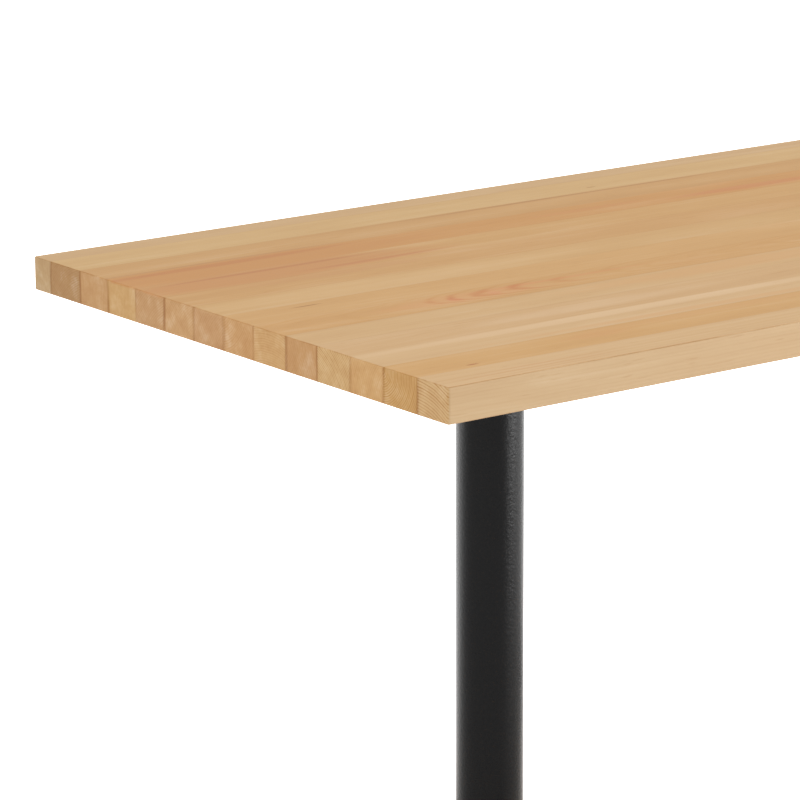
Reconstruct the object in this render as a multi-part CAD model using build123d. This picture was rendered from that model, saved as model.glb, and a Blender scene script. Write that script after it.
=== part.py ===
from build123d import *
import math
import os

# A rectangular table for a church or hall: an edge-glued hardwood top on two end bases.
# Each base is a cast T foot, a round steel column and a cast four-armed spider under the top,
# all drawn together by one tie rod inside the column. Each foot stands on two levelling glides.
#
# Millimetres. +X runs along the top, +Y across it, +Z up. The origin is on the floor under the
# middle of the top. "left" is the -X base, "front" the -Y side.

# ---- driving dimensions ---------------------------------------------------------------------

TOP_LENGTH = 1524.0
STAVE_WIDTHS = [50.0] + [56.0] * 11 + [60.0, 36.0]  # from the front edge to the back
TOP_WIDTH = sum(STAVE_WIDTHS)
TOP_THICKNESS = 38.1
TABLE_HEIGHT = 762.0
EDGE_RADIUS = 1.6  # along the top and bottom edges
CORNER_RADIUS = 3.0  # at the four upright corners

COLUMN_INSET = 350.0  # from the end of the top to a column's centre line
COLUMN_DIAMETER = 76.2
COLUMN_WALL = 2.0

FOOT_LENGTH = 560.0
FOOT_RIM_Z = 16.0  # underside of the casting
FOOT_WALL = 7.0
HUB_RADIUS = 62.0
HUB_TOP_Z = 68.0
COLLAR_RADIUS = 46.0
ARM_ROOT_HALF_WIDTH = 33.0
ARM_TIP_HALF_WIDTH = 22.0
ARM_ROOT_TOP_Z = 56.0
ARM_TIP_TOP_Z = 42.0
ARM_BEND_Y = 56.0  # where the arm starts to fall away from the hub
PAD_RADIUS = 30.0
OUTLINE_RADIUS = 16.0  # where the arms meet the hub and the pads
CREST_RADIUS = 7.0
COLLAR_FOOT_RADIUS = 57.0
COLLAR_BAND = 5.0  # the upright band under the collar's rim
COLLAR_RIM_RADIUS = 2.0
SPINE_WIDTH = 6.0  # the rib inside the casting, from glide to glide
SPINE_SINK = 3.0  # how far its top stays under the casting's outer skin

SPIDER_REACH = 190.0  # from the column's centre line to an arm's tip
SPIDER_ARM_ANGLES = (45.0, 135.0, 225.0, 315.0)
SPIDER_ARM_WIDTH = 32.0
SPIDER_FLANGE = 6.0
SPIDER_RIB = 5.0
SPIDER_HUB_RADIUS = 48.0
SPIDER_HUB_HEIGHT = 22.0
SPIDER_TIP_HEIGHT = 11.0
SPIDER_HUB_ROUND = 2.0
SPIDER_ARM_ROUND = 1.2

SOCKET_DEPTH = 8.0  # how far the column sits into each casting
SOCKET_CLEARANCE = 0.15
ROD_RADIUS = 6.0  # M12
ROD_CLEARANCE = 0.05  # in the spider's thread
FIT_CLEARANCE = 0.05  # round a screw, and round a glide's stud

SCREW_RADII = (95.0, 172.0)  # along each spider arm, from the centre line, clear of the glue lines
SCREW_SHANK_RADIUS = 2.9
SCREW_HOLE_SPARE = 0.4  # round the shank, in the spider
SCREW_HEAD_RADIUS = 6.2
SCREW_HEAD_HEIGHT = 3.6
SCREW_HEAD_ROUND = 2.4
SCREW_IN_WOOD = 24.0
SCREW_POINT = 5.0
SCREW_POINT_RADIUS = 0.4
RECESS_LENGTH, RECESS_WIDTH, RECESS_DEPTH = 5.6, 1.5, 1.9

GLIDE_INSET = 35.0  # from a foot's end to its glide's centre line
SOLE_RADIUS = 19.0
SOLE_THICKNESS = 3.5
SOLE_ROUND = 1.0
CUP_RIM_Z = 4.7
CUP_TOP_Z = 9.4
CUP_TOP_RADIUS = 8.5
CUP_MOUTH_RADIUS = 3.5
BALL_RADIUS = 4.0
BALL_Z = 7.6
NECK_RADIUS = 2.8
STUD_RADIUS = 5.0  # M10
STUD_CHAMFER = 1.0
STUD_BOSS_WALL = 8.0
HEX_ACROSS_FLATS = 17.0
HEX_HEIGHT = 5.0
STUD_LENGTH = 19.0  # in the casting, with the glide wound right up
THREAD_HOLE_SPARE = 1.5

# ---- worked out from them -------------------------------------------------------------------

UNDERSIDE_Z = TABLE_HEIGHT - TOP_THICKNESS
COLUMN_X = TOP_LENGTH / 2 - COLUMN_INSET
COLUMN_RADIUS = COLUMN_DIAMETER / 2
COLUMN_BORE = COLUMN_RADIUS - COLUMN_WALL
COLUMN_BOTTOM_Z = HUB_TOP_Z - SOCKET_DEPTH
SPIDER_BOTTOM_Z = UNDERSIDE_Z - SPIDER_HUB_HEIGHT
COLUMN_TOP_Z = SPIDER_BOTTOM_Z + SOCKET_DEPTH
GLIDE_Y = FOOT_LENGTH / 2 - GLIDE_INSET
SCREW_SEAT_Z = UNDERSIDE_Z - SPIDER_FLANGE
BASES = {"left": -COLUMN_X, "right": COLUMN_X}
SIDES = {"front": -GLIDE_Y, "back": GLIDE_Y}

# The tie rod's stack under the foot's hub, from the top down.
BOSS_BOTTOM_Z = 36.0
BOSS_RADIUS = 17.0
ROD_HOLE_SPARE = 0.6  # round the rod, in the foot
WASHER_RADIUS, WASHER_THICKNESS = 12.0, 2.5
WASHER_HOLE_SPARE = 0.5
WASHER_ROOM = 3.0
NUT_ACROSS_FLATS, NUT_HEIGHT = 18.0, 10.0
ROD_SPARE = 3.0  # past the nut, and short of the wood
ROD_END_Z = BOSS_BOTTOM_Z - WASHER_THICKNESS - NUT_HEIGHT - ROD_SPARE
ROD_TOP_Z = UNDERSIDE_Z - ROD_SPARE
ROD_CHAMFER = 1.0


def save(name, shape):
    export_step(shape, f"parts/{name}.step")


def disc(radius, low, high):
    """An upright cylinder between two heights."""
    return Pos(0, 0, low) * extrude(Circle(radius), high - low)


def lowest_circle(shape):
    return shape.edges().filter_by(GeomType.CIRCLE).sort_by(Axis.Z)[0]


def hexagon(across_flats, low, high):
    """An upright hexagonal bar between two heights, its corners turned to a slight cone."""
    corner = across_flats / math.sqrt(3)
    bar = Pos(0, 0, low) * extrude(RegularPolygon(corner, 6), high - low)
    turned = disc(corner, low, high)
    turned = chamfer(turned.edges().filter_by(GeomType.CIRCLE), (high - low) * 0.12)
    return bar & turned


# ---- the top --------------------------------------------------------------------------------


def screw_places(base_x):
    """The plan position of each wood screw of one spider."""
    return [
        (base_x + r * math.cos(math.radians(a)), r * math.sin(math.radians(a)))
        for a in SPIDER_ARM_ANGLES
        for r in SCREW_RADII
    ]


def top_slab():
    """The whole glued panel with its edges eased and a pilot hole for every screw."""
    middle = UNDERSIDE_Z + TOP_THICKNESS / 2
    slab = Pos(0, 0, middle) * Box(TOP_LENGTH, TOP_WIDTH, TOP_THICKNESS)
    slab = fillet(slab.edges().filter_by(Axis.Z), CORNER_RADIUS)
    faces = slab.faces().sort_by(Axis.Z)
    slab = fillet(faces[-1].edges() + faces[0].edges(), EDGE_RADIUS)
    pilot = disc(SCREW_SHANK_RADIUS + FIT_CLEARANCE, UNDERSIDE_Z - 1, UNDERSIDE_Z + SCREW_IN_WOOD + 1)
    holes = [Pos(x, y, 0) * pilot for base_x in BASES.values() for x, y in screw_places(base_x)]
    return slab - holes


def staves():
    """The panel cut along its glue lines, from the front edge to the back."""
    slab = top_slab()
    middle = UNDERSIDE_Z + TOP_THICKNESS / 2
    low = -TOP_WIDTH / 2
    for width in STAVE_WIDTHS:
        slot = Box(TOP_LENGTH + 2, width, TOP_THICKNESS + 2)
        yield slab & (Pos(0, low + width / 2, middle) * slot)
        low += width


# ---- the cast foot --------------------------------------------------------------------------


def foot_outline():
    """The foot in plan: a round hub, two tapering arms along Y and a round pad at each tip."""
    tip = FOOT_LENGTH / 2 - PAD_RADIUS
    arms = make_face(
        Polyline(
            (-ARM_ROOT_HALF_WIDTH, 0),
            (-ARM_TIP_HALF_WIDTH, tip),
            (ARM_TIP_HALF_WIDTH, tip),
            (ARM_ROOT_HALF_WIDTH, 0),
            (ARM_TIP_HALF_WIDTH, -tip),
            (-ARM_TIP_HALF_WIDTH, -tip),
            close=True,
        )
    )
    pads = [Pos(0, y) * Circle(PAD_RADIUS) for y in (tip, -tip)]
    outline = arms + Circle(HUB_RADIUS) + pads[0] + pads[1]
    return fillet(outline.vertices(), OUTLINE_RADIUS)


def foot_block(inset):
    """The foot's outer body, or the space inside it when inset is the casting's wall."""
    outline = foot_outline()
    if inset:
        outline = offset(outline, -inset)
    low = FOOT_RIM_Z - (1.0 if inset else 0.0)
    root, tip = ARM_ROOT_TOP_Z - inset, ARM_TIP_TOP_Z - inset
    half = FOOT_LENGTH / 2 + 1
    profile = [Line((-ARM_BEND_Y, root), (ARM_BEND_Y, root)), Line((-half, low), (half, low))]
    for side in (1, -1):
        start, end = (side * ARM_BEND_Y, root), (side * GLIDE_Y, tip)
        bend = Bezier(start, (start[0] * 1.5, root), (start[0] * 2.2, tip), end)
        profile += [bend, Line(end, (side * half, tip)), Line((side * half, tip), (side * half, low))]
    reach = HUB_RADIUS + 1
    side_view = extrude(Plane.YZ.offset(-reach) * make_face(profile), 2 * reach)
    return side_view & (Pos(0, 0, low - 1) * extrude(outline, HUB_TOP_Z))


def foot_collar():
    """The turned swelling that carries the column, from the hub up to its socket."""
    sunk = ARM_ROOT_TOP_Z - 1
    foot_point = (COLLAR_FOOT_RADIUS, ARM_ROOT_TOP_Z)
    band_point = (COLLAR_RADIUS, HUB_TOP_Z - COLLAR_BAND)
    swell = Bezier(foot_point, (COLLAR_RADIUS + 2, ARM_ROOT_TOP_Z + 1), band_point)
    rest = Polyline(
        band_point,
        (COLLAR_RADIUS, HUB_TOP_Z),
        (0, HUB_TOP_Z),
        (0, sunk),
        (COLLAR_FOOT_RADIUS, sunk),
        foot_point,
    )
    collar = revolve(Plane.XZ * make_face([swell, rest]), Axis.Z)
    rim = collar.faces().sort_by(Axis.Z)[-1].edges()
    return fillet(rim, COLLAR_RIM_RADIUS)


def socket_ring(low, high):
    """The ring-shaped groove that takes a column's end."""
    ring = disc(COLUMN_RADIUS + SOCKET_CLEARANCE, low, high)
    return ring - disc(COLUMN_BORE - SOCKET_CLEARANCE, low, high)


def foot_shell():
    """The hollow casting, open below, with its upper edges rounded over."""
    body = foot_block(0)
    boxes = [(e, e.bounding_box()) for e in body.edges()]
    crest = [e for e, box in boxes if box.min.Z > FOOT_RIM_Z + 5 and box.size.Y > 0.1]
    return fillet(crest, CREST_RADIUS) + foot_collar() - foot_block(FOOT_WALL)


def foot():
    body = foot_shell()
    rib_top = ARM_TIP_TOP_Z - 3
    rib_low = BOSS_BOTTOM_Z - 5
    spine = Box(SPINE_WIDTH, 2 * (GLIDE_Y - STUD_RADIUS), HUB_TOP_Z - rib_low)
    spine = Pos(0, 0, (HUB_TOP_Z + rib_low) / 2) * spine & foot_block(SPINE_SINK)
    tip_boss = disc(STUD_RADIUS + STUD_BOSS_WALL, FOOT_RIM_Z, rib_top)
    body += disc(BOSS_RADIUS, BOSS_BOTTOM_Z, ARM_ROOT_TOP_Z) + spine
    body += [Pos(0, y, 0) * tip_boss for y in SIDES.values()]
    body -= socket_ring(COLUMN_BOTTOM_Z, HUB_TOP_Z + 1)
    body -= disc(ROD_RADIUS + ROD_HOLE_SPARE, FOOT_RIM_Z, HUB_TOP_Z + 1)
    body -= disc(WASHER_RADIUS + WASHER_ROOM, FOOT_RIM_Z - 1, BOSS_BOTTOM_Z)
    thread = disc(STUD_RADIUS, FOOT_RIM_Z - 1, FOOT_RIM_Z + STUD_LENGTH + THREAD_HOLE_SPARE)
    return body - [Pos(0, y, 0) * thread for y in SIDES.values()]


# ---- the column and its tie rod -------------------------------------------------------------


def column():
    outside = disc(COLUMN_RADIUS, COLUMN_BOTTOM_Z, COLUMN_TOP_Z)
    return outside - disc(COLUMN_BORE, COLUMN_BOTTOM_Z, COLUMN_TOP_Z)


def tie_rod():
    rod = disc(ROD_RADIUS - ROD_CLEARANCE, ROD_END_Z, ROD_TOP_Z)
    return chamfer(rod.edges().filter_by(GeomType.CIRCLE), ROD_CHAMFER)


def rod_washer():
    low = BOSS_BOTTOM_Z - WASHER_THICKNESS
    hole = disc(ROD_RADIUS + WASHER_HOLE_SPARE, low, BOSS_BOTTOM_Z)
    return disc(WASHER_RADIUS, low, BOSS_BOTTOM_Z) - hole


def rod_nut():
    high = BOSS_BOTTOM_Z - WASHER_THICKNESS
    low = high - NUT_HEIGHT
    return hexagon(NUT_ACROSS_FLATS, low, high) - disc(ROD_RADIUS, low, high)


# ---- the cast spider under the top ----------------------------------------------------------


def spider_arm():
    """One arm along +X: a channel, open below, that gets shallower towards its rounded tip."""
    half_root, half_tip = SPIDER_ARM_WIDTH / 2 + 3, SPIDER_ARM_WIDTH / 2 - 1
    tip = SPIDER_REACH - half_tip
    corners = ((0, -half_root), (tip, -half_tip), (tip, half_tip), (0, half_root))
    plan = make_face(Polyline(*corners, close=True)) + Pos(tip, 0) * Circle(half_tip)
    side = make_face(
        Polyline(
            (0, UNDERSIDE_Z),
            (SPIDER_REACH, UNDERSIDE_Z),
            (SPIDER_REACH, UNDERSIDE_Z - SPIDER_TIP_HEIGHT),
            (SPIDER_HUB_RADIUS, SPIDER_BOTTOM_Z),
            (0, SPIDER_BOTTOM_Z),
            close=True,
        )
    )
    upright = Pos(0, 0, SPIDER_BOTTOM_Z - 1) * extrude(plan, SPIDER_HUB_HEIGHT + 2)
    arm = upright & extrude(Plane.XZ.offset(-SPIDER_ARM_WIDTH) * side, 2 * SPIDER_ARM_WIDTH)
    below = [e for e in arm.edges() if e.bounding_box().max.Z < UNDERSIDE_Z - SPIDER_FLANGE]
    arm = fillet(below, SPIDER_ARM_ROUND)
    channel = extrude(offset(plan, -SPIDER_RIB), SCREW_SEAT_Z - SPIDER_BOTTOM_Z + 1)
    arm -= Pos(0, 0, SPIDER_BOTTOM_Z - 1) * channel
    hole = disc(SCREW_SHANK_RADIUS + SCREW_HOLE_SPARE, SCREW_SEAT_Z - 1, UNDERSIDE_Z + 1)
    return arm - [Pos(r, 0, 0) * hole for r in SCREW_RADII]


def spider():
    hub = disc(SPIDER_HUB_RADIUS, SPIDER_BOTTOM_Z, UNDERSIDE_Z)
    hub = fillet(lowest_circle(hub), SPIDER_HUB_ROUND)
    arm = spider_arm()
    body = hub + [Rot(0, 0, a) * arm for a in SPIDER_ARM_ANGLES]
    body -= socket_ring(SPIDER_BOTTOM_Z - 1, COLUMN_TOP_Z)
    return body - disc(ROD_RADIUS, SPIDER_BOTTOM_Z - 1, UNDERSIDE_Z + 1)


def wood_screw():
    """A pan-headed wood screw with a cross recess, point up, its axis on the origin."""
    low = SCREW_SEAT_Z - SCREW_HEAD_HEIGHT
    head = disc(SCREW_HEAD_RADIUS, low, SCREW_SEAT_Z)
    head = fillet(lowest_circle(head), SCREW_HEAD_ROUND)
    shoulder = UNDERSIDE_Z + SCREW_IN_WOOD - SCREW_POINT
    shank = disc(SCREW_SHANK_RADIUS, SCREW_SEAT_Z, shoulder)
    point = Cone(SCREW_SHANK_RADIUS, SCREW_POINT_RADIUS, SCREW_POINT)
    slot = Box(RECESS_LENGTH, RECESS_WIDTH, 2 * RECESS_DEPTH)
    recess = slot + Rot(0, 0, 90) * slot
    return head + shank + Pos(0, 0, shoulder + SCREW_POINT / 2) * point - Pos(0, 0, low) * recess


# ---- the levelling glides -------------------------------------------------------------------


def glide_sole():
    return fillet(lowest_circle(disc(SOLE_RADIUS, 0, SOLE_THICKNESS)), SOLE_ROUND)


def glide_cup():
    """The pressed steel cap that holds the stud's ball down on the nylon sole."""
    rim, shoulder = (SOLE_RADIUS, CUP_RIM_Z), (CUP_TOP_RADIUS, CUP_TOP_Z)
    swell = Bezier(rim, (SOLE_RADIUS - 3, CUP_RIM_Z + 1.4), shoulder)
    rest = Polyline(shoulder, (0, CUP_TOP_Z), (0, SOLE_THICKNESS), (SOLE_RADIUS, SOLE_THICKNESS), rim)
    cup = revolve(Plane.XZ * make_face([swell, rest]), Axis.Z)
    cup -= Pos(0, 0, BALL_Z) * Sphere(BALL_RADIUS + FIT_CLEARANCE)
    return cup - disc(CUP_MOUTH_RADIUS, BALL_Z, CUP_TOP_Z + 1)


def glide_stud():
    """Ball, neck, hexagon and threaded shank in one piece, wound right up into the foot."""
    ball = Pos(0, 0, BALL_Z) * Sphere(BALL_RADIUS)
    neck = disc(NECK_RADIUS, BALL_Z, FOOT_RIM_Z - HEX_HEIGHT)
    collar = hexagon(HEX_ACROSS_FLATS, FOOT_RIM_Z - HEX_HEIGHT, FOOT_RIM_Z)
    shank = disc(STUD_RADIUS - FIT_CLEARANCE, FOOT_RIM_Z, FOOT_RIM_Z + STUD_LENGTH)
    shank = chamfer(shank.edges().filter_by(GeomType.CIRCLE).sort_by(Axis.Z)[-1], STUD_CHAMFER)
    return ball + neck + collar + shank


# ---- every sub-part in its place ------------------------------------------------------------


def main():
    os.makedirs("parts", exist_ok=True)
    for number, stave in enumerate(staves(), 1):
        save(f"top_stave_{number:02d}", stave)

    base_pieces = {
        "foot": foot(),
        "column": column(),
        "spider": spider(),
        "tie_rod": tie_rod(),
        "rod_washer": rod_washer(),
        "rod_nut": rod_nut(),
    }
    glide_pieces = {"sole": glide_sole(), "cup": glide_cup(), "stud": glide_stud()}
    screw = wood_screw()
    for base, base_x in BASES.items():
        for name, piece in base_pieces.items():
            save(f"{base}_{name}", Pos(base_x, 0, 0) * piece)
        save(f"{base}_spider_screws", Compound([Pos(x, y, 0) * screw for x, y in screw_places(base_x)]))
        for side, y in SIDES.items():
            for name, piece in glide_pieces.items():
                save(f"{base}_{side}_glide_{name}", Pos(base_x, y, 0) * piece)


main()
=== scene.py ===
import math

import bpy
from mathutils import Euler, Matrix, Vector


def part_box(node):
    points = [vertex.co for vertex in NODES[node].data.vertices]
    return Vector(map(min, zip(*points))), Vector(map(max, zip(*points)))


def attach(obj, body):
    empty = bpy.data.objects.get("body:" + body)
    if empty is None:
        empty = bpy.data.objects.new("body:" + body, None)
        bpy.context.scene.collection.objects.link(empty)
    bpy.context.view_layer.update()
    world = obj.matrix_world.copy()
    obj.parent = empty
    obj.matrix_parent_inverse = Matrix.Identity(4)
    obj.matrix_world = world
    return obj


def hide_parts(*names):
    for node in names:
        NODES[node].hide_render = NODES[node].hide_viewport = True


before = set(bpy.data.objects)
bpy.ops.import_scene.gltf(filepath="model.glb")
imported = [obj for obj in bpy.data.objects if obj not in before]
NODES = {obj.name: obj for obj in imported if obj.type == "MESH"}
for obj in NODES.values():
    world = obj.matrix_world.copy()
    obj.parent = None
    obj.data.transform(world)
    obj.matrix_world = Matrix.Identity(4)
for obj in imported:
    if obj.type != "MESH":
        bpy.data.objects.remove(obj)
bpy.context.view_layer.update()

# The looks of a butcher-block table on two black T bases: lacquered wood staves, powder-coated
# columns and castings, zinc-plated hardware and nylon soles. Metres, in the frame of the model.

MM = 0.001

# ---- places taken from the frame ------------------------------------------------------------

FRONT_STAVE_LOW, FRONT_STAVE_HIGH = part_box("top_stave_01")
TOP_Z = FRONT_STAVE_HIGH[2]
LEFT_END = FRONT_STAVE_LOW[0]
FRONT_EDGE = FRONT_STAVE_LOW[1]
STAVES = sorted(name for name in NODES if name.startswith("top_stave_"))
COLUMN_LOW, COLUMN_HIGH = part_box("left_column")
COLUMN_X = (COLUMN_LOW[0] + COLUMN_HIGH[0]) / 2
BASES = ("left", "right")
SIDES = ("front", "back")

# ---- the turned hardware, in millimetres: the CAD's sizes, with standard threads --------------

BALL_Z, BALL_RADIUS, NECK_RADIUS = 7.6, 4.0, 2.8
NECK_ANGLE = math.radians(135)  # where the neck leaves the ball, measured from the ball's bottom
HEX_LOW, HEX_HIGH, HEX_FLATS, HEX_CHAMFER = 11.0, 16.0, 17.0, 0.6
STUD_TOP = 35.0
ROD_LOW, ROD_HIGH = 20.5, 720.9
ROD_THREAD = 35.0  # the threaded length at each end of a rod
M10 = (4.95, 1.5, 0.85)  # radius, pitch and depth of a thread
M12 = (5.95, 1.75, 0.98)
CUT_CHAMFER = 1.0  # on the end where a thread is cut off
ROOT_SHARE, FLANK_SHARE = 0.2, 0.6  # of half a pitch: the flat root and the flank

# ---- the fineness of the turned meshes ------------------------------------------------------

AROUND = 48  # points round a turned piece
THREAD_STEPS = 8  # rows of points in one pitch
BALL_STEPS = 12  # rows from the ball's bottom to its neck
SHARP_ANGLE = math.radians(32)

# ---- the camera and the studio --------------------------------------------------------------

CAMERA_FROM_CORNER = Vector((-2.2375, -2.9191, 0.9261))  # from the top's near left corner
CAMERA_YAW, CAMERA_PITCH, CAMERA_ROLL = -36.741, -14.313, -0.251  # degrees
SENSOR_WIDTH, CAMERA_LENS = 36.0, 176.4  # mm
CAMERA_REACH = 200.0
VIEW_AHEAD = (0.598, 0.801, 0.0)  # the way the camera looks, along the floor
GLOW_FROM = (COLUMN_X, 0.0, 0.0)  # the foot of the left column
GLOW_START, GLOW_END = -0.1, 0.8  # how far behind it the floor's glow starts and stops rising
FLOOR_GLOW_NEAR, FLOOR_GLOW_FAR = 0.12, 1.3
FLOOR_SIZE, FLOOR_Z = 60.0, -0.0004
FLOOR_GREY = 0.84
BACKDROP_RADIUS = 45.0
ROOM_LOW, ROOM_HIGH = 0.17, 1.22  # the light of the room at eye height and from overhead
WHITE = (1.0, 1.0, 1.0, 1.0)


def srgb(red, green, blue):
    """A display colour, 0 to 255, as the linear colour that shaders take."""
    def linear(value):
        value /= 255
        return value / 12.92 if value <= 0.04045 else ((value + 0.055) / 1.055) ** 2.4
    return (linear(red), linear(green), linear(blue), 1.0)


class Graph:
    """Short calls for building a node tree. Each returns the new node's main output."""

    def __init__(self, tree):
        self.tree = tree

    def add(self, kind, inputs=(), **settings):
        """Any node, with links or numbers for its inputs. This one returns the node itself."""
        node = self.tree.nodes.new(kind)
        for key, value in settings.items():
            setattr(node, key, value)
        for key, value in dict(inputs).items():
            self.feed(node.inputs[key], value)
        return node

    def feed(self, socket, value):
        """Links an output to a socket, or sets the socket's own number."""
        if isinstance(value, bpy.types.NodeSocket):
            self.tree.links.new(value, socket)
        else:
            socket.default_value = value

    def math(self, operation, *values):
        return self.add("ShaderNodeMath", enumerate(values), operation=operation).outputs[0]

    def vector(self, operation, *values):
        node = self.add("ShaderNodeVectorMath", enumerate(values), operation=operation)
        return node.outputs["Value" if operation in ("LENGTH", "DOT_PRODUCT") else "Vector"]

    def split(self, vector):
        """The three parts of a vector."""
        return self.add("ShaderNodeSeparateXYZ", {0: vector}).outputs

    def join(self, x, y, z):
        return self.add("ShaderNodeCombineXYZ", {0: x, 1: y, 2: z}).outputs[0]

    def place(self):
        """The place in the piece's own axes, which at rest are the frame's."""
        return self.add("ShaderNodeTexCoord").outputs["Object"]

    def noise(self, place, per_metre, detail=2.0, roughness=0.5):
        """Noise with so many waves per metre along each axis, 0 to 1 and mostly near 0.5."""
        scaled = self.vector("MULTIPLY", place, per_metre)
        settings = {"Vector": scaled, "Scale": 1.0, "Detail": detail, "Roughness": roughness}
        return self.add("ShaderNodeTexNoise", settings).outputs[0]

    def grain(self, per_metre, detail=2.0):
        """Noise that is the same in every direction, fixed to the piece."""
        return self.noise(self.place(), (per_metre, per_metre, per_metre), detail, roughness=0.6)

    def about_zero(self, noise):
        """Noise moved down so that its middle is 0."""
        return self.math("SUBTRACT", noise, 0.5)

    def smooth(self, value, low, high, to_low=0.0, to_high=1.0):
        """A smooth step from to_low at low to to_high at high."""
        settings = {"Value": value, "From Min": low, "From Max": high, "To Min": to_low, "To Max": to_high}
        return self.add("ShaderNodeMapRange", settings, interpolation_type="SMOOTHSTEP").outputs[0]

    def mix(self, factor, first, second, blend="MIX"):
        """Two colours mixed. Sockets 6 and 7 and output 2 are the colour ones of this node."""
        inputs = {0: factor, 6: first, 7: second}
        node = self.add("ShaderNodeMix", inputs, data_type="RGBA", blend_type=blend, clamp_factor=True)
        return node.outputs[2]

    def mix_numbers(self, factor, first, second):
        return self.add("ShaderNodeMix", {0: factor, 2: first, 3: second}, data_type="FLOAT").outputs[0]

    def bump(self, height, distance, strength):
        """A normal bent by a height, which stands for so many metres."""
        inputs = {"Height": height, "Distance": distance, "Strength": strength}
        return self.add("ShaderNodeBump", inputs).outputs[0]


def new_material(name):
    """An empty material, and its graph."""
    material = bpy.data.materials.new(name)
    material.use_nodes = True
    material.node_tree.nodes.clear()
    return material, Graph(material.node_tree)


def new_group(name, inputs, outputs):
    """An empty node group with the given sockets, and its graph."""
    tree = bpy.data.node_groups.new(name, "ShaderNodeTree")
    for in_out, sockets in (("INPUT", inputs), ("OUTPUT", outputs)):
        for socket, kind in sockets.items():
            tree.interface.new_socket(socket, in_out=in_out, socket_type=f"NodeSocket{kind}")
    return tree, Graph(tree)


def finish_material(graph, **inputs):
    """The principled shader, its numbers set on its own sockets, and the output."""
    sockets = {key.replace("_", " "): value for key, value in inputs.items()}
    shader = graph.add("ShaderNodeBsdfPrincipled", sockets)
    graph.add("ShaderNodeOutputMaterial", {"Surface": shader.outputs[0]})


def dress(node_name, material):
    """Gives a CAD node's object its finished material."""
    for slot in NODES[node_name].material_slots:
        slot.material = material


# ---- wood -----------------------------------------------------------------------------------

RING_TINT = (0.70, 0.52, 0.34, 1.0)  # what the dark side of a growth ring multiplies the wood by
GLUE_AND_EDGE_SHADE_TINT = (0.60, 0.43, 0.28, 1.0)  # the same for a glue line, and for painted shade along a rounded edge
BROAD_FACE_SHADE_TINT = (0.925, 0.895, 0.785, 1.0)  # painted shade on the two broad faces: their colour less the light their lacquer reflects
LONG_FACE_SHADE_TINT = (0.832, 0.842, 0.800, 1.0)  # painted shade on the two long faces, matched to how the lamps fall on them
END_FACE_SHADE_TINT = (0.968, 0.968, 0.965, 1.0)  # painted shade on the ends, matched to how the lamps fall on them
PALE_TONE = (1.0, 0.93, 0.80, 1.0)  # what pale grain goes towards
FIGURE_TONE = srgb(186, 116, 74)
SEAM_WIDTH, SEAM_WANDER = 0.0036, 0.009
GRAIN_BEND = 0.026  # how far the streaks stray sideways
OUTSIDE = 0.02  # puts the glue line of an outer face out of the wood
SEED_STEP = 3.7  # how far apart two staves' noise is taken

WOOD_INPUTS = {
    "Side": "Color",
    "End": "Color",
    "Pith": "Vector",
    "Lean": "Vector",
    "Spacing": "Float",
    "Seed": "Float",
    "Warp": "Float",
    "Figure": "Float",
    "End Figure": "Float",
    "Low Y": "Float",
    "High Y": "Float",
}
WOOD_OUTPUTS = {"Colour": "Color", "Height": "Float", "Rough": "Float", "Ring": "Float"}


def drawn_out(along, across):
    """Waves per metre for noise that is drawn out along the stave."""
    return (along, across, across)


def growth_rings(g, given, place, seeded, wander):
    """Dark lines by the distance from a leaning, wandering pith line, stronger in some years."""
    x, y, z = g.split(place)
    pith = g.split(given["Pith"])
    lean = g.split(g.vector("MULTIPLY", given["Lean"], g.join(x, x, x)))
    across = g.math("SUBTRACT", g.math("SUBTRACT", y, pith[1]), lean[1])
    up = g.math("SUBTRACT", g.math("SUBTRACT", z, pith[2]), lean[2])
    radius = g.vector("LENGTH", g.join(0.0, across, up))
    ripple = g.about_zero(g.noise(seeded, drawn_out(15.0, 42.0)))
    warp = g.math("MULTIPLY_ADD", ripple, 0.35, wander)
    radius = g.math("MULTIPLY_ADD", warp, given["Warp"], radius)
    phase = g.math("DIVIDE", radius, given["Spacing"])
    wave = g.math("MULTIPLY_ADD", g.math("COSINE", g.math("MULTIPLY", phase, 2 * math.pi)), 0.5, 0.5)
    line = g.math("POWER", wave, 2.5)
    years = {"W": g.math("MULTIPLY", phase, 0.7), "Scale": 1.0}
    year = g.add("ShaderNodeTexNoise", years, noise_dimensions="1D").outputs[0]
    return g.math("MULTIPLY", line, g.smooth(year, 0.3, 0.7, 0.35, 1.0))


def wood_colour(g, given, facing, endness, shade):
    """The lacquered wood's colour, with painted shade for each way a face turns: browner where the grain's
    shade is above 0, paler where it is below.
    """
    # Painted shade: the ends, the long faces and the broad faces each get their own darker tint, matched
    # to the light that falls on them or is reflected from them.
    colour = g.mix(endness, given["Side"], g.mix(1.0, given["End"], END_FACE_SHADE_TINT, "MULTIPLY"))
    for turned, tint in ((facing[2], BROAD_FACE_SHADE_TINT), (facing[1], LONG_FACE_SHADE_TINT)):
        colour = g.mix(g.smooth(turned, 0.6, 0.95), colour, tint, "MULTIPLY")
    colour = g.mix(g.math("MAXIMUM", shade, 0.0), colour, RING_TINT, "MULTIPLY")
    pale = g.math("MAXIMUM", g.math("MULTIPLY", shade, -1.0), 0.0)
    return g.mix(g.math("MULTIPLY", pale, 0.45), colour, PALE_TONE)


def glue_line(g, given, place, wander, endness):
    """The uneven glue line at each long edge of the stave, faint on the faces, clear on the ends."""
    y = g.split(place)[1]
    from_low = g.math("SUBTRACT", y, given["Low Y"])
    from_high = g.math("SUBTRACT", given["High Y"], y)
    inside = g.math("MULTIPLY_ADD", wander, SEAM_WANDER, g.math("MINIMUM", from_low, from_high))
    line = g.smooth(inside, 0.0, SEAM_WIDTH, 1.0, 0.0)
    strength = g.smooth(endness, 0.0, 1.0, 0.10, 0.74)
    uneven = g.smooth(g.noise(place, (0.0, 23.0, 16.0), detail=1.0), 0.38, 0.60, 0.30, 1.0)
    return g.math("MULTIPLY", g.math("MULTIPLY", line, strength), uneven)


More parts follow.
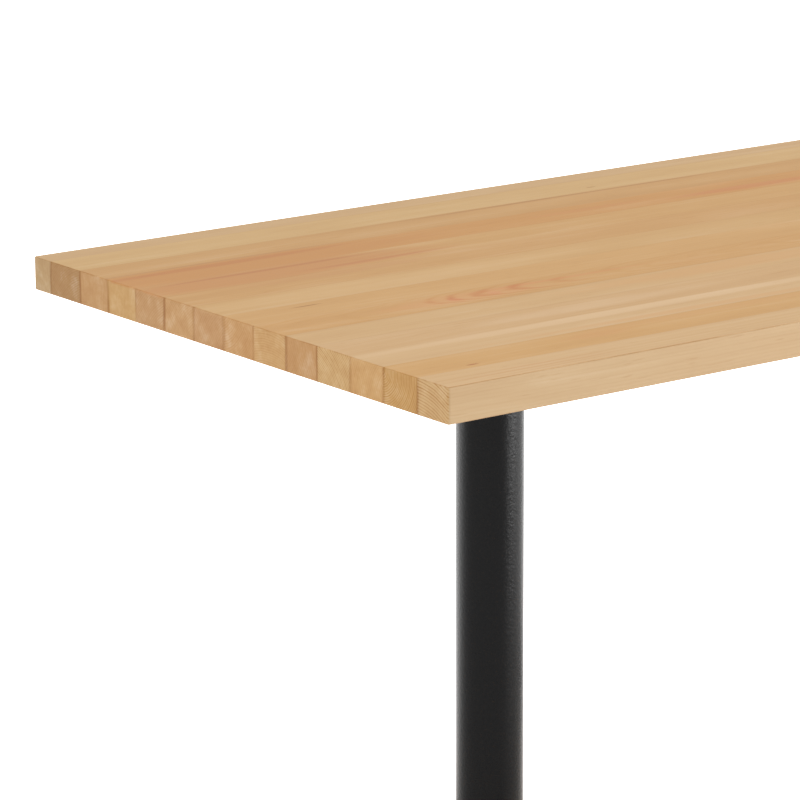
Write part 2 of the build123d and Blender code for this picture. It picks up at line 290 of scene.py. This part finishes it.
def rounded_edge_painted_shade(g, facing, seeded, endness):
    """Painted shade along the rounded edges of the broad faces, in patches, and less at the ends."""
    flattest = g.math("MAXIMUM", g.math("MAXIMUM", facing[0], facing[1]), facing[2])
    round_part = g.smooth(flattest, 0.72, 0.99, 0.75, 0.0)
    edge = g.math("MULTIPLY", round_part, g.smooth(facing[2], 0.15, 0.6))
    patchy = g.noise(seeded, drawn_out(14.0, 40.0), detail=3.0, roughness=0.6)
    edge = g.math("MULTIPLY", edge, g.smooth(patchy, 0.38, 0.62, 0.30, 1.0))
    return g.math("MULTIPLY", edge, g.math("MULTIPLY_ADD", endness, -0.45, 1.0))


def wood_group():
    """Solid wood: rings about a pith line near X, streaks and fibres along X, and end grain."""
    tree, g = new_group("solid_wood", WOOD_INPUTS, WOOD_OUTPUTS)
    given = g.add("NodeGroupInput").outputs
    place = g.place()
    facing = g.split(g.vector("ABSOLUTE", g.add("ShaderNodeTexCoord").outputs["Normal"]))
    endness = g.smooth(facing[0], 0.35, 0.85)
    seeded = g.vector("ADD", place, g.join(given["Seed"], given["Seed"], given["Seed"]))
    wander = g.about_zero(g.noise(seeded, drawn_out(2.6, 9.0), roughness=0.45))
    ring = growth_rings(g, given, place, seeded, wander)

    # Streaks, threads and flecks stray sideways with the grain. The rest lie straight.
    bend = g.math("MULTIPLY", wander, GRAIN_BEND)
    bent = g.vector("ADD", seeded, g.join(0.0, bend, bend))
    streak = g.noise(bent, drawn_out(1.1, 48.0), detail=4.0, roughness=0.62)
    thread = g.noise(bent, drawn_out(5.0, 260.0), roughness=0.6)
    fleck = g.smooth(g.noise(bent, drawn_out(26.0, 420.0), detail=1.0), 0.66, 0.76)
    fibre = g.noise(seeded, drawn_out(55.0, 1500.0), roughness=0.7)
    pore = g.smooth(g.noise(seeded, drawn_out(75.0, 2600.0), detail=1.0), 0.66, 0.76)
    cloud = g.noise(seeded, drawn_out(7.0, 26.0))
    blotch = g.noise(seeded, drawn_out(60.0, 60.0), detail=3.0, roughness=0.6)

    # What darkens the wood: low values of the first row's noises, and the second row's marks.
    shade = 0.0
    for noise, weight in ((streak, 0.55), (thread, 0.22), (fibre, 0.12), (cloud, 0.30), (blotch, endness)):
        shade = g.math("MULTIPLY_ADD", g.math("SUBTRACT", 0.5, noise), weight, shade)
    ring_weight = g.mix_numbers(endness, given["Figure"], given["End Figure"])
    fleck_weight = g.smooth(endness, 0.0, 1.0, 0.22, 0.0)
    for mark, weight in ((ring, ring_weight), (pore, 0.06), (fleck, fleck_weight)):
        shade = g.math("MULTIPLY_ADD", mark, weight, shade)

    colour = wood_colour(g, given, facing, endness, shade)
    glue = glue_line(g, given, place, wander, endness)
    # Dark glue lines between the staves, and painted shade along the rounded edges.
    for dark in (glue, rounded_edge_painted_shade(g, facing, seeded, endness)):
        colour = g.mix(dark, colour, GLUE_AND_EDGE_SHADE_TINT, "MULTIPLY")

    height = g.math("MULTIPLY_ADD", thread, 0.5, g.math("MULTIPLY", fibre, 0.5))
    height = g.math("MULTIPLY_ADD", ring, -0.4, height)
    rough = g.smooth(endness, 0.0, 1.0, 0.40, 0.52)
    rough = g.math("MULTIPLY_ADD", ring, 0.05, rough)
    rough = g.math("MULTIPLY_ADD", streak, 0.10, rough)
    g.add("NodeGroupOutput", {"Colour": colour, "Height": height, "Rough": rough, "Ring": ring})
    return tree


# Each stave from the front edge to the back: side and end colour, pith (across and up from the
# stave's middle) in mm, lean of the pith line, ring spacing and warp in mm, side and end figure.
STAVE_LOOKS = [
    ((210, 177, 139), (203, 168, 121), (40, -95), (0.010, 0.004), 3.1, 6, 0.10, 0.95),
    ((206, 165, 116), (196, 154, 98), (34, 24), (0.004, 0.010), 2.5, 8, 0.08, 0.75),
    ((209, 176, 138), (202, 160, 108), (-70, -30), (0.006, -0.004), 2.8, 6, 0.07, 0.25),
    ((206, 171, 132), (204, 168, 118), (62, -56), (-0.008, 0.006), 2.6, 6, 0.07, 0.80),
    ((207, 173, 133), (192, 148, 100), (90, 44), (0.004, 0.008), 2.8, 8, 0.07, 0.25),
    ((204, 162, 114), (200, 159, 108), (6, -34), (0.004, 0.046), 2.6, 11, 0.07, 0.35),
    ((206, 166, 119), (197, 153, 104), (50, 44), (0.008, 0.004), 2.7, 6, 0.07, 0.28),
    ((205, 168, 123), (193, 150, 105), (-80, -50), (-0.006, 0.006), 2.8, 6, 0.07, 0.22),
    ((202, 161, 115), (196, 154, 107), (-60, -48), (0.006, 0.006), 2.5, 8, 0.08, 0.26),
    ((203, 163, 116), (191, 149, 104), (-80, -80), (0.004, 0.012), 2.7, 8, 0.08, 0.24),
    ((201, 154, 105), (197, 157, 104), (110, 10), (0.005, 0.004), 2.9, 6, 0.08, 0.24),
    ((201, 161, 116), (192, 150, 103), (-100, -14), (0.004, -0.006), 2.4, 6, 0.08, 0.28),
    ((206, 173, 130), (173, 134, 90), (-64, -70), (-0.006, 0.008), 2.6, 8, 0.07, 0.22),
    ((203, 171, 135), (184, 152, 110), (-90, 20), (0.006, 0.006), 2.4, 6, 0.08, 0.25),
]

# Stains, paler patches and small dark marks on the top face: stave, then centre and half size along the
# top from its left end and across it from its front edge, in mm, then colour and strength.
STAINS = [
    (11, (150, 582), (330, 42), (191, 140, 90), 0.85),
    (11, (130, 598), (220, 9), (182, 122, 80), 0.50),
    (11, (650, 584), (110, 8), (194, 138, 92), 0.40),
    (11, (900, 572), (150, 12), (192, 130, 88), 0.60),
    (10, (140, 526), (260, 42), (191, 139, 92), 0.85),
    (10, (170, 543), (210, 5), (176, 118, 80), 0.50),
    (10, (280, 514), (110, 5), (182, 124, 86), 0.50),
    (9, (220, 486), (150, 14), (192, 145, 100), 0.50),
    (12, (660, 662), (330, 3), (160, 112, 74), 0.50),
    (12, (150, 613), (230, 3), (176, 124, 84), 0.45),
    (8, (250, 412), (340, 30), (207, 172, 126), 0.35),
    (6, (250, 303), (130, 22), (204, 150, 104), 0.40),
    (6, (238, 300), (11, 9), (206, 140, 104), 0.50),
    (6, (292, 300), (12, 9), (206, 140, 104), 0.40),
    (6, (400, 312), (150, 5), (200, 136, 92), 0.40),
    # This row and the one for stave 4 below make the top paler towards its front left.
    (3, (330, 152), (420, 12), (218, 188, 152), 0.42),
    (3, (420, 116), (300, 8), (203, 158, 110), 0.50),
    (2, (260, 84), (60, 12), (198, 148, 98), 0.45),
    (2, (440, 96), (260, 10), (200, 154, 104), 0.40),
    (5, (640, 252), (330, 24), (201, 157, 108), 0.60),
    (4, (330, 190), (200, 16), (212, 182, 146), 0.35),
    (7, (96, 372), (24, 1.8), (146, 98, 58), 0.75),
    (13, (742, 684), (10, 2.0), (150, 104, 64), 0.60),
    (2, (76, 60), (9, 2.2), (158, 88, 58), 0.65),
]

# Where the growth rings come up strong on the top face: stave, centre, half size and strength.
FIGURES = [
    (6, (300, 303), (120, 26), 0.80),
    (6, (560, 290), (60, 12), 0.25),
    (1, (120, 14), (120, 14), 0.30),
    (10, (330, 516), (90, 18), 0.40),
]

STAIN_DEEP, STAIN_SHALLOW = 0.004, 0.0005  # how far under the top face a stain ends and starts to fade


def stain_group():
    """How far a place lies inside one long soft stain of the top face, 0 to 1."""
    tree, g = new_group("stain", {"Centre": "Vector", "Half Size": "Vector"}, {"Mask": "Float"})
    given = g.add("NodeGroupInput").outputs
    place = g.place()
    away = g.vector("DIVIDE", g.vector("SUBTRACT", place, given["Centre"]), given["Half Size"])
    away = g.vector("LENGTH", g.vector("MULTIPLY", away, (1.0, 1.0, 0.0)))
    ragged = g.noise(place, (7.0, 95.0, 0.0), detail=3.0, roughness=0.6)
    away = g.math("MULTIPLY_ADD", ragged, 0.9, g.math("SUBTRACT", away, 0.45))
    mask = g.smooth(away, 0.45, 1.1, 1.0, 0.0)
    depth = g.smooth(g.split(place)[2], TOP_Z - STAIN_DEEP, TOP_Z - STAIN_SHALLOW)
    g.add("NodeGroupOutput", {"Mask": g.math("MULTIPLY", mask, depth)})
    return tree


def stain_mask(g, stain, centre, half_size):
    """One use of the stain group, its place and half size given in mm as in STAINS."""
    spot = g.add("ShaderNodeGroup", node_tree=stain)
    spot.inputs["Centre"].default_value = (LEFT_END + centre[0] * MM, FRONT_EDGE + centre[1] * MM, 0.0)
    spot.inputs["Half Size"].default_value = (half_size[0] * MM, half_size[1] * MM, 1.0)
    return spot.outputs["Mask"]


def wood_material(number, node_name, wood, stain):
    """One stave's wood, with whatever stains it has."""
    side, end, pith, lean, spacing, warp, figure, end_figure = STAVE_LOOKS[number - 1]
    low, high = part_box(node_name)
    middle_y, middle_z = (low[1] + high[1]) / 2, (low[2] + high[2]) / 2
    material, g = new_material(f"wood_{number:02d}")
    grain = g.add("ShaderNodeGroup", node_tree=wood)
    settings = {
        "Side": srgb(*side),
        "End": srgb(*end),
        "Pith": (0.0, middle_y + pith[0] * MM, middle_z + pith[1] * MM),
        "Lean": (0.0, *lean),
        "Spacing": spacing * MM,
        "Seed": number * SEED_STEP,
        "Warp": warp * MM,
        "Figure": figure,
        "End Figure": end_figure,
        "Low Y": low[1] - (OUTSIDE if number == 1 else 0.0),
        "High Y": high[1] + (OUTSIDE if number == len(STAVES) else 0.0),
    }
    for name, value in settings.items():
        grain.inputs[name].default_value = value
    colour = grain.outputs["Colour"]
    for stave, centre, half_size, tone, strength in STAINS:
        if stave == number:
            mask = stain_mask(g, stain, centre, half_size)
            colour = g.mix(g.math("MULTIPLY", mask, strength), colour, srgb(*tone))
    for stave, centre, half_size, strength in FIGURES:
        if stave == number:
            mask = stain_mask(g, stain, centre, half_size)
            lines = g.math("MULTIPLY", g.math("MULTIPLY", mask, grain.outputs["Ring"]), strength)
            colour = g.mix(lines, colour, FIGURE_TONE)
    finish_material(
        g,
        Base_Color=colour,
        Roughness=grain.outputs["Rough"],
        Normal=g.bump(grain.outputs["Height"], distance=0.00012, strength=0.5),
        Specular_IOR_Level=0.10,
    )
    return material


# ---- metal and plastic ----------------------------------------------------------------------


def powder_coat():
    """Fine textured black powder coat on the smooth steel columns: a leathery, sparkling skin."""
    material, g = new_material("powder_coat")
    grit = g.grain(1300.0)
    leather = g.grain(310.0)
    height = g.math("MULTIPLY_ADD", grit, 0.30, leather)
    finish_material(
        g,
        Base_Color=g.mix(leather, srgb(4, 4, 5), srgb(10, 10, 11)),
        Roughness=g.smooth(grit, 0.3, 0.7, 0.23, 0.31),
        Normal=g.bump(height, distance=0.0006, strength=0.55),
        Specular_IOR_Level=0.205,
    )
    return material


def cast_iron():
    """The same coat over sand-cast iron: the casting's skin shows through as low lumps."""
    material, g = new_material("cast_iron")
    skin = g.grain(210.0, detail=4.0)
    grit = g.grain(1000.0)
    pit = g.smooth(g.grain(420.0, detail=1.0), 0.68, 0.78)
    height = g.math("MULTIPLY_ADD", grit, 0.35, skin)
    height = g.math("MULTIPLY_ADD", pit, -0.7, height)
    finish_material(
        g,
        Base_Color=g.mix(skin, srgb(16, 16, 17), srgb(33, 33, 34)),
        Roughness=g.smooth(skin, 0.3, 0.7, 0.40, 0.56),
        Normal=g.bump(height, distance=0.0006, strength=0.6),
        Specular_IOR_Level=0.40,
    )
    return material


def zinc():
    """Bright zinc plate: faint cloudy passivation and fine turning marks."""
    material, g = new_material("zinc_plate")
    cloud = g.grain(160.0, detail=3.0)
    marks = g.noise(g.place(), (300.0, 300.0, 6500.0), roughness=0.6)
    finish_material(
        g,
        Base_Color=g.mix(cloud, srgb(176, 178, 176), srgb(214, 214, 206)),
        Metallic=1.0,
        Roughness=g.smooth(cloud, 0.3, 0.7, 0.24, 0.40),
        Normal=g.bump(marks, distance=0.00004, strength=0.5),
    )
    return material


def nylon():
    """Moulded black nylon with a fine spark-eroded grain."""
    material, g = new_material("nylon")
    grain = g.grain(1800.0)
    scuff = g.grain(230.0, detail=3.0)
    finish_material(
        g,
        Base_Color=g.mix(scuff, srgb(36, 36, 38), srgb(60, 60, 62)),
        Roughness=g.smooth(scuff, 0.3, 0.7, 0.46, 0.62),
        Normal=g.bump(grain, distance=0.00008, strength=0.5),
    )
    return material


# ---- turned pieces with real threads --------------------------------------------------------

# A turned piece is given as rows of (height, radius), in mm, from its bottom to its top, where
# radius is a function of the angle about the piece's upright axis.


def plain(radius):
    """A round row: the same radius at every angle."""
    return lambda angle: radius


def hexagon_radius(across_flats, limit):
    """The radius of a hexagonal bar, corners on X, cut back where it would pass the limit."""
    def radius(angle):
        off_flat = angle % (math.pi / 3) - math.pi / 6
        return min(across_flats / 2 / math.cos(off_flat), limit)
    return radius


def thread_radius(z, outer, pitch, depth, limit):
    """The radius of a right-hand thread at one height, cut back where it would pass the limit."""
    def radius(angle):
        turn = (z / pitch - angle / (2 * math.pi)) % 1.0
        climb = (1 - abs(2 * turn - 1) - ROOT_SHARE) / FLANK_SHARE
        return min(outer - depth * (1 - min(max(climb, 0.0), 1.0)), limit)
    return radius


def threaded_rows(fade, cut, outer, pitch, depth):
    """Rows of a thread, from the height where it fades out to the one where it is cut off."""
    count = round(abs(cut - fade) / pitch * THREAD_STEPS)
    rows = []
    for step in range(count + 1):
        z = fade + (cut - fade) * step / count
        depth_here = depth * min(abs(z - fade) / pitch, 1.0)
        limit = outer - max(CUT_CHAMFER - abs(cut - z), 0.0)
        rows.append((z, thread_radius(z, outer, pitch, depth_here, limit)))
    return rows if fade < cut else rows[::-1]


def stud_rows():
    """A glide's stud from its ball up: neck, hexagon and M10 thread, at rest."""
    rows = []
    for step in range(1, BALL_STEPS + 1):
        angle = NECK_ANGLE * step / BALL_STEPS
        rows.append((BALL_Z - BALL_RADIUS * math.cos(angle), plain(BALL_RADIUS * math.sin(angle))))
    rows.append((BALL_Z - BALL_RADIUS * math.cos(NECK_ANGLE), plain(NECK_RADIUS)))
    rows.append((HEX_LOW, plain(NECK_RADIUS)))
    corner = HEX_FLATS / math.sqrt(3)
    whole = hexagon_radius(HEX_FLATS, corner)
    cut_back = hexagon_radius(HEX_FLATS, corner - HEX_CHAMFER)
    rows.append((HEX_LOW, cut_back))
    rows.append((HEX_LOW + HEX_CHAMFER, whole))
    rows.append((HEX_HIGH - HEX_CHAMFER, whole))
    rows.append((HEX_HIGH, cut_back))
    return rows + threaded_rows(HEX_HIGH, STUD_TOP, *M10)


def rod_rows():
    """A tie rod, with an M12 thread at each end."""
    bottom = threaded_rows(ROD_LOW + ROD_THREAD, ROD_LOW, *M12)
    top = threaded_rows(ROD_HIGH - ROD_THREAD, ROD_HIGH, *M12)
    return bottom + top


def turned_piece(name, node, rows):
    """A closed mesh from its rows, about the upright axis through the middle of a node's box."""
    low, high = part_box(node)
    middle = (low + high) / 2
    points = [(middle[0], middle[1], rows[0][0] * MM)]
    for z, radius in rows:
        for step in range(AROUND):
            angle = 2 * math.pi * step / AROUND
            reach = radius(angle) * MM
            x, y = middle[0] + reach * math.cos(angle), middle[1] + reach * math.sin(angle)
            points.append((x, y, z * MM))
    points.append((middle[0], middle[1], rows[-1][0] * MM))
    last = 1 + (len(rows) - 1) * AROUND
    faces = []
    for step in range(AROUND):
        after = (step + 1) % AROUND
        faces.append((0, 1 + after, 1 + step))
        for row in range(1, last, AROUND):
            above = row + AROUND
            faces.append((row + step, row + after, above + after, above + step))
        faces.append((last + step, last + after, len(points) - 1))
    mesh = bpy.data.meshes.new(name)
    mesh.from_pydata(points, [], faces)
    mesh.shade_smooth()
    mesh.set_sharp_from_angle(angle=SHARP_ANGLE)
    piece = bpy.data.objects.new(name, mesh)
    bpy.context.collection.objects.link(piece)
    return piece


def finish_turned(piece, node, body, material):
    """Gives a turned piece its material and puts it in the place of a CAD node."""
    piece.data.materials.append(material)
    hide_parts(node)
    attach(piece, body)


def add_threaded_pieces(plated):
    """The tie rods and the glide studs, with threads."""
    for base in BASES:
        rod = turned_piece(f"{base}_threaded_rod", f"{base}_tie_rod", rod_rows())
        finish_turned(rod, f"{base}_tie_rod", "table", plated)
        for side in SIDES:
            glide = f"{base}_{side}_glide"
            stud = turned_piece(f"{glide}_threaded_stud", f"{glide}_stud", stud_rows())
            finish_turned(stud, f"{glide}_stud", f"{glide}_screw", plated)


def dress_everything():
    """Gives every CAD node its material, and adds the threaded pieces."""
    wood, stain = wood_group(), stain_group()
    for number, name in enumerate(STAVES, 1):
        dress(name, wood_material(number, name, wood, stain))
    iron, plated = cast_iron(), zinc()
    finishes = {
        "foot": iron,
        "spider": iron,
        "column": powder_coat(),
        "glide_sole": nylon(),
    }
    for name in NODES:
        if name in STAVES:
            continue
        kind = next((kind for kind in finishes if name.endswith(kind)), None)
        dress(name, finishes[kind] if kind else plated)
    add_threaded_pieces(plated)


# ---- the studio -----------------------------------------------------------------------------


def studio_floor():
    """A pale floor that glows, more so behind the table, as a lit backdrop does. It has no underside."""
    bpy.ops.mesh.primitive_plane_add(size=FLOOR_SIZE, location=(0, 0, FLOOR_Z))
    floor = bpy.context.object
    floor.name = "floor"
    material, g = new_material("floor")
    behind = g.vector("DOT_PRODUCT", g.vector("SUBTRACT", g.place(), GLOW_FROM), VIEW_AHEAD)
    glow = g.smooth(behind, GLOW_START, GLOW_END, FLOOR_GLOW_NEAR, FLOOR_GLOW_FAR)
    above = g.add("ShaderNodeBsdfPrincipled", {
        "Base Color": (FLOOR_GREY, FLOOR_GREY, FLOOR_GREY, 1.0),
        "Roughness": 0.9,
        "Specular IOR Level": 0.0,
        "Emission Color": WHITE,
        "Emission Strength": glow,
    })
    below = g.add("ShaderNodeBsdfTransparent")
    backfacing = g.add("ShaderNodeNewGeometry").outputs["Backfacing"]
    surface = g.add("ShaderNodeMixShader", {0: backfacing, 1: above.outputs[0], 2: below.outputs[0]})
    g.add("ShaderNodeOutputMaterial", {"Surface": surface.outputs[0]})
    floor.data.materials.append(material)
    return floor


def studio_backdrop():
    """A white room beyond the floor. It is only looked at: it casts and reflects no light."""
    bpy.ops.mesh.primitive_uv_sphere_add(segments=48, ring_count=24, radius=BACKDROP_RADIUS)
    backdrop = bpy.context.object
    backdrop.name = "backdrop"
    material, g = new_material("backdrop")
    glow = g.add("ShaderNodeEmission", {"Color": WHITE, "Strength": 1.0})
    g.add("ShaderNodeOutputMaterial", {"Surface": glow.outputs[0]})
    backdrop.data.materials.append(material)
    backdrop.visible_diffuse = False
    backdrop.visible_glossy = False
    backdrop.visible_transmission = False
    backdrop.visible_shadow = False


def studio_world():
    """The light of a soft white room, brightest overhead."""
    world = bpy.data.worlds.new("studio")
    bpy.context.scene.world = world
    world.use_nodes = True
    world.node_tree.nodes.clear()
    g = Graph(world.node_tree)
    height = g.split(g.add("ShaderNodeTexCoord").outputs["Generated"])[2]
    strength = g.smooth(height, 0.0, 0.75, ROOM_LOW, ROOM_HIGH)
    light = g.add("ShaderNodeBackground", {"Color": WHITE, "Strength": strength})
    g.add("ShaderNodeOutputWorld", {"Surface": light.outputs[0]})


def area_light(name, place, aim, size, power):
    """A rectangular lamp at a place, turned to where it is aimed."""
    light = bpy.data.lights.new(name, "AREA")
    light.shape = "RECTANGLE"
    light.size, light.size_y = size
    light.energy = power
    lamp = bpy.data.objects.new(name, light)
    bpy.context.collection.objects.link(lamp)
    lamp.location = place
    lamp.rotation_euler = (Vector(aim) - Vector(place)).to_track_quat("-Z", "Y").to_euler()
    return lamp


def studio_lights(floor):
    """Three soft lamps. The low strip shows only on the table: it would draw a line on the floor."""
    strip = area_light(
        "right_strip", (1.52, -2.18, 0.24), aim=(COLUMN_X, 0, 0.58), size=(1.9, 0.46), power=35
    )
    left_out = bpy.data.collections.new("left_out_of_the_strip")
    left_out.objects.link(floor)
    left_out.collection_objects[0].light_linking.link_state = "EXCLUDE"
    strip.light_linking.receiver_collection = left_out
    area_light("top_softbox", (1.2, 0.4, 2.7), aim=(0.3, 0, 0.76), size=(1.2, 1.2), power=5)
    area_light("left_fill", (-3.6, -1.6, 2.0), aim=(-0.5, 0, 0.70), size=(2.0, 1.5), power=20)


def place_camera():
    """The camera that took the photo, found from the top's edges."""
    camera = bpy.data.cameras.new("camera")
    camera.sensor_width = SENSOR_WIDTH
    camera.lens = CAMERA_LENS
    camera.clip_end = CAMERA_REACH
    holder = bpy.data.objects.new("camera", camera)
    bpy.context.collection.objects.link(holder)
    holder.location = Vector((LEFT_END, FRONT_EDGE, TOP_Z)) + CAMERA_FROM_CORNER
    turn = Euler((math.radians(90 + CAMERA_PITCH), 0.0, math.radians(CAMERA_YAW)), "XYZ").to_matrix()
    roll = Euler((0.0, 0.0, math.radians(CAMERA_ROLL)), "XYZ").to_matrix()
    holder.rotation_euler = (turn @ roll).to_euler()
    bpy.context.scene.camera = holder
    bpy.context.scene.view_settings.view_transform = "Standard"


def main():
    place_camera()
    studio_world()
    floor = studio_floor()
    studio_backdrop()
    studio_lights(floor)
    dress_everything()


main()
